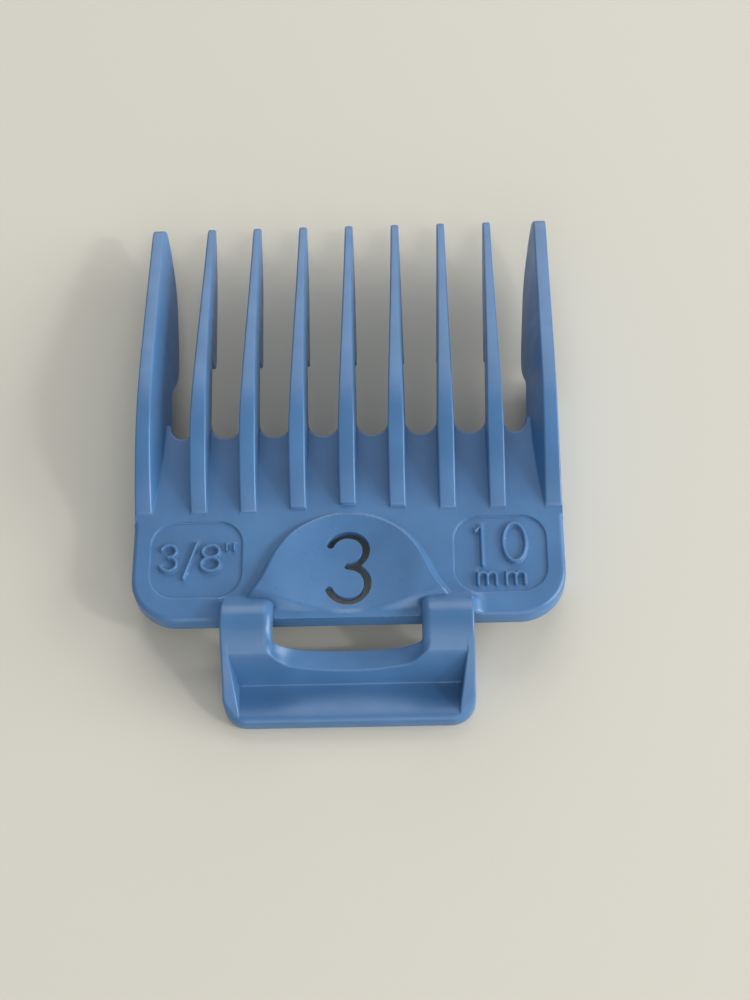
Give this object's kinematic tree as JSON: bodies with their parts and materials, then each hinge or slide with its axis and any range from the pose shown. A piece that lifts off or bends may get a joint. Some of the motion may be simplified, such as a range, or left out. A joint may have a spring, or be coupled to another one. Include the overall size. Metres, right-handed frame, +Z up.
{
  "type": "clipper guard comb",
  "caption": "Clip-fitted hair clipper guard: curved comb teeth on a plate that seats over the blade, with a sprung thumb clip that hooks behind the blade.",
  "frame": {"origin": "middle of the surface that the guard lies on, at the centre of its outline", "axes": "+X right, +Y towards the tooth tips, +Z up, from the blade side to the crest of the teeth"},
  "size_m": [0.0498, 0.0658, 0.0106],
  "materials": {
    "guard_plastic": "semi-gloss moulded polypropylene, mid blue",
    "boss_plastic": "the same blue plastic, in the finely polished dish around the number"
  },
  "bodies": {
    "guard_body": {"base_plate": "guard_plastic", "left_blade_rail": "guard_plastic", "right_blade_rail": "guard_plastic", "left_side_tooth": "guard_plastic", "tooth_1": "guard_plastic", "tooth_2": "guard_plastic", "tooth_3": "guard_plastic", "tooth_4": "guard_plastic", "tooth_5": "guard_plastic", "tooth_6": "guard_plastic", "tooth_7": "guard_plastic", "right_side_tooth": "guard_plastic", "number_boss": "boss_plastic", "left_size_badge": "guard_plastic", "right_size_badge": "guard_plastic", "left_arm_root": "guard_plastic", "right_arm_root": "guard_plastic"},
    "clip": {"left_clip_arm": "guard_plastic", "right_clip_arm": "guard_plastic", "catch_bar": "guard_plastic", "catch_lip": "guard_plastic", "thumb_tray": "guard_plastic", "left_tab_rim": "guard_plastic", "right_tab_rim": "guard_plastic", "tab_end_lip": "guard_plastic"}
  },
  "joints": [
    {"name": "clip_flex", "type": "hinge", "parent": "guard_body", "child": "clip", "pos_m": [0, -0.02214, 0.0075], "axis": [-1, 0, 0], "range_deg": [0, 12], "stiffness_Nm_per_rad": 0.02}
  ]
}
